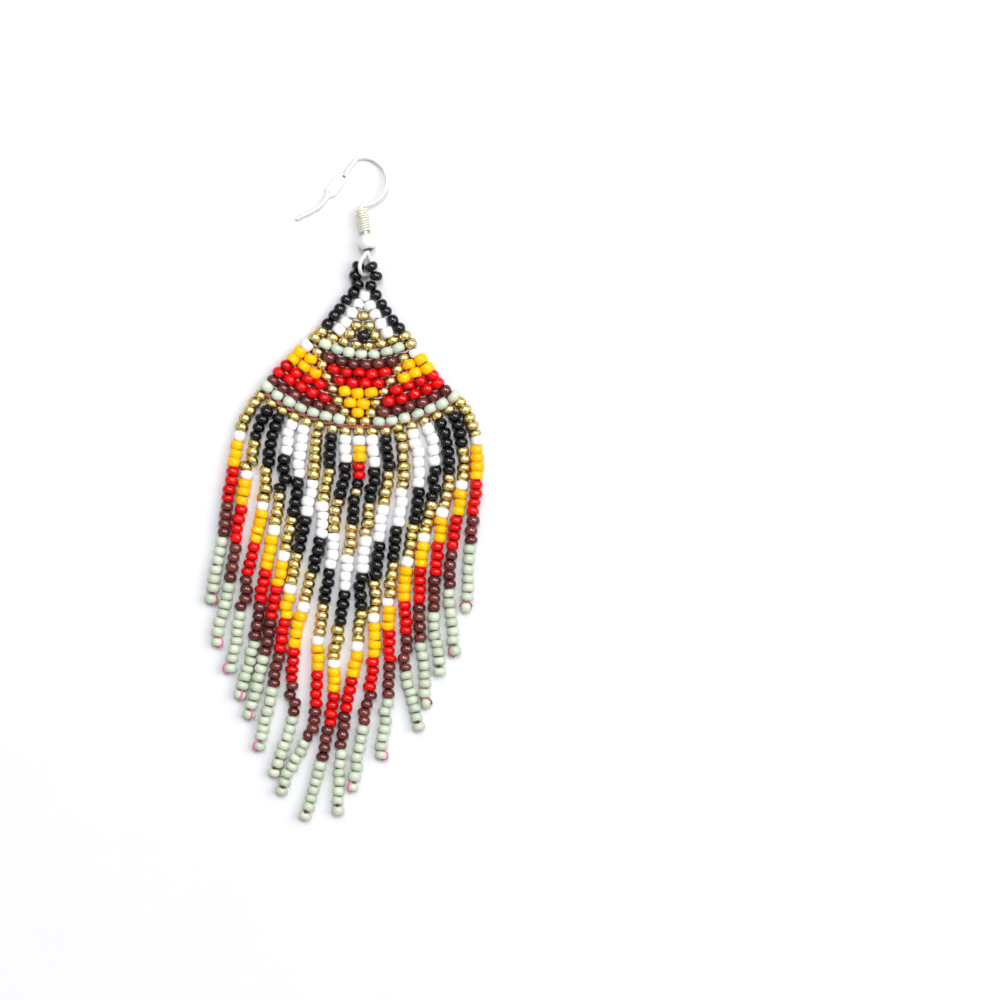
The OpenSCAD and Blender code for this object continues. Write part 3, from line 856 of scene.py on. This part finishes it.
# %% The wire's middle line
def arc(centre, radius, start_deg, sweep_deg, steps):
    """Points of an arc in the hook's plane."""
    turns = [math.radians(start_deg + sweep_deg * i / steps) for i in range(steps + 1)]
    return [centre + radius * Vector((math.cos(turn), math.sin(turn), 0)) for turn in turns]

corner = Vector((corner_r, coil_end + 0.04, 0))
bend = Vector((1.1, corner.y + corner_r + bend_r, 0))
knee = bend + Vector((0, bend_r - knee_r, 0))
arm_from = knee + knee_r * Vector((-math.sin(arm_slope), math.cos(arm_slope), 0))
arm_way = -Vector((math.cos(arm_slope), math.sin(arm_slope), 0))
tail_way = -Vector((math.cos(tail_slope), math.sin(tail_slope), 0))
ankle = arm_from + arm_way * arm_len + ankle_r * Vector((-math.sin(arm_slope), math.cos(arm_slope), 0))
tail_from = ankle + ankle_r * Vector((math.sin(tail_slope), -math.cos(tail_slope), 0))
print("corner, bend and knee", [[round(c, 2) for c in p.xy] for p in (corner, bend, knee)])

# %% Rings of the wire: a point, half its width in the plane and half its thickness
def full_rings(points):
    """Rings where the wire keeps its round section."""
    return [(p, wire_r, wire_r) for p in points]

rings = full_rings([Vector((0, s, 0)) for s in (0.0, 3.0, corner.y - 0.1)])
rings += full_rings(arc(corner, corner_r, 180, -90, 8) + arc(bend, bend_r, -90, 180, 40))
rings += full_rings(arc(knee, knee_r, 97, 35, 6))
# columns: place along the plate as a share of its length, half width, half thickness, depth below its middle
PRESSED = [(-0.12, wire_r, wire_r, 0.0), (-0.02, 0.42, 0.22, 0.0), (0.03, 0.40, 0.12, 0.06),
           (0.065, 0.20, 0.03, 0.15), (0.935, 0.20, 0.03, 0.15), (0.97, 0.40, 0.12, 0.06),
           (1.02, 0.42, 0.22, 0.0), (1.12, wire_r, wire_r, 0.0)]
for share, half_width, half_height, depth in PRESSED:
    rings.append((arm_from + arm_way * (plate_start + share * plate_len) - UP * depth, half_width, half_height))
rings += full_rings(arc(ankle, ankle_r, -48, -25, 6))
# columns: place along the tail as a share of its length, share of the wire's radius
for out, share in [(0.5, 1.0), (0.93, 1.0), (0.965, 0.94), (0.99, 0.75), (1.005, 0.4)]:
    rings.append((tail_from + tail_way * (tail_len + wire_r) * out, wire_r * share, wire_r * share))
line = [p for p, _, _ in rings]
wire = bmesh.new()
sweep(wire, [ring_place(line, i, w, h) for i, (_, w, h) in enumerate(rings)], 16)
print("rings in the wire", len(rings))

# %% The plate pressed flat in the arm
corner_cut, plate_edge_r = 0.75, 0.07
dent_from_end, dent_aside, dent_half_len, dent_half_w, dent_depth = 0.36, 0.12, 0.22, 0.36, 0.32

def dent_reach(point, side):
    """How far a point of the plate is from the dent at one end, as a share of the dent's size."""
    return Vector(((point.x - side * (plate_len / 2 - dent_from_end)) / dent_half_len,
                   (point.y + side * dent_aside) / dent_half_w)).length

def pressed_plate():
    """A sheet with cut corners and soft edges, and a punch dent near each end, one dark with painted shade."""
    bm = bmesh.new()
    bmesh.ops.create_grid(bm, x_segments=46, y_segments=19, size=0.5,
                          matrix=Matrix.Diagonal((plate_len, plate_w, 1, 1)))
    for sx in (-1, 1):
        for sy in (-1, 1):
            bmesh.ops.bisect_plane(bm, geom=bm.verts[:] + bm.edges[:] + bm.faces[:], clear_outer=True,
                                   plane_co=(sx * (plate_len / 2 - corner_cut), sy * plate_w / 2, 0),
                                   plane_no=(sx * 0.62, sy, 0))
    bmesh.ops.solidify(bm, geom=bm.faces[:], thickness=plate_t)
    bmesh.ops.translate(bm, vec=(0, 0, plate_t / 2 - max(v.co.z for v in bm.verts)), verts=bm.verts)
    edges = [e for e in bm.edges if e.calc_face_angle(0) > 1]
    bmesh.ops.bevel(bm, geom=edges, offset=plate_edge_r, segments=2, profile=0.5, affect="EDGES", material=-1)
    for v in bm.verts:
        for side in (-1, 1):
            if v.co.z > 0:
                v.co.z -= dent_depth * math.exp(-dent_reach(v.co, side) ** 2)
    for face in bm.faces:
        # the top of one dent gets the dark silver: painted shade in the dent
        face.material_index = int(face.normal.z > 0 and dent_reach(face.calc_center_median(), 1) < 0.8)
    return bm

plate = pressed_plate()
middle = arm_from + arm_way * (plate_start + plate_len / 2)
bmesh.ops.transform(plate, matrix=Matrix.Translation(middle) @ Matrix.Rotation(arm_slope, 4, "Z"),
                    verts=plate.verts)
plate_mesh = bpy.data.meshes.new("plate_mesh")
plate.to_mesh(plate_mesh)
plate.free()
wire.from_mesh(plate_mesh)
bmesh.ops.transform(wire, matrix=hook_plane, verts=wire.verts)
print("faces in the wire and its plate", len(wire.faces))

# %% The eye, bent as a drop below the ball, then the whole hook
eye_r, eye_tip, eye_low = 1.55, 2.2, -0.30
eye_lean, eye_turn = map(math.radians, (8.5, 58))
eye_plane = (Matrix.Translation(fan_place + eye_at + UP * hook_z) @ Matrix.Rotation(-eye_lean, 4, "Z")
             @ Matrix.Rotation(eye_turn, 4, "Y"))
open_deg = math.degrees(math.acos(eye_r / (eye_tip - eye_low)))
drop = arc(Vector((0, eye_low, 0)), eye_r, 90 + open_deg, 360 - 2 * open_deg, 36)
tip = Vector((0, eye_tip, 0))
ball_middle = eye_plane.inverted() @ (fan_place + ball_at + UP * hook_z)
for line in ([ball_middle, tip, *drop[:19]], [ball_middle, tip, *reversed(drop[18:])]):
    sweep_round(wire, [eye_plane @ p for p in line], wire_r, 14)
bmesh.ops.recalc_face_normals(wire, faces=wire.faces)
hook_piece = finish_piece("hook_wire", wire, [wire_silver, shade_painted_silver], ["ear_hook"])
hook_piece.data.set_sharp_from_angle(angle=math.radians(40))

# %% [markdown]
# ## Coil and ball
# A finer wire is wound nine times round the stem, turn against turn. A screw modifier could wind it, but its
# middle line is a plain helix, and the same sweep as before draws it closed. The ball is a hollow bead of silver
# sheet. A sphere would have no holes, so its wall is a spun arc that turns in at both ends.

# %% The coil
helix_r = (coil_d - coil_wire_d) / 2
steps_a_turn = 24
helix = []
for i in range(steps_a_turn * coil_turns + 1):
    turn = math.tau * i / steps_a_turn
    helix.append(Vector((helix_r * math.cos(turn), coil_start + coil_wire_d / 2 + coil_pitch * i / steps_a_turn,
                         -helix_r * math.sin(turn))))
bm = bmesh.new()
sweep_round(bm, helix, coil_wire_d * 0.45, 10)
bmesh.ops.transform(bm, matrix=hook_plane, verts=bm.verts)
bmesh.ops.recalc_face_normals(bm, faces=bm.faces)
finish_piece("coil_wire", bm, [coil_silver], ["coil"])

# %% The ball
hole_r = wire_r + 0.2
shell = [math.radians(degrees) for degrees in (0, 13, 26, 39, 50, 58, 66)]
half_arc = [(ball_d / 2 * math.cos(a), ball_d / 2 * math.sin(a)) for a in shell]
half_arc += [(hole_r + 0.06, ball_d / 2 * 0.955), (hole_r, ball_d / 2 * 0.90), (hole_r, ball_d / 2 * 0.80)]
outline = [(radius, -z) for radius, z in reversed(half_arc[1:])] + half_arc
bm = spun(outline, 32)
# round the upper hole the silver is dark: painted shade in the hole
for face in bm.faces:
    middle = face.calc_center_median()
    face.material_index = int(middle.xy.length < 0.95 and middle.z > 0)
bmesh.ops.transform(bm, matrix=hook_plane @ Matrix.Rotation(math.pi / 2, 4, "X"), verts=bm.verts)
finish_piece("drilled_ball", bm, [ball_silver, shade_painted_silver], ["ball"])

# %% [markdown]
# ## Floor
# The earring lies on a plain white sheet. One large face is enough. Its colour could be flat, but a faint
# unevenness keeps it from looking like a screen.

# %% Floor
bm = bmesh.new()
bmesh.ops.create_grid(bm, x_segments=1, y_segments=1, size=1.5)
floor_mesh = bpy.data.meshes.new("floor")
bm.to_mesh(floor_mesh)
bm.free()
floor = bpy.data.objects.new("floor", floor_mesh)
scene.collection.objects.link(floor)
paper, tree, body = new_finish("white_sheet")
white = mixed(tree, noise(tree, 60.0), (0.765, 0.768, 0.79, 1), (0.785, 0.788, 0.81, 1))
tree.links.new(white, body.inputs["Base Color"])
body.inputs["Roughness"].default_value = 0.7
floor.data.materials.append(paper)
print("floor", floor.name)
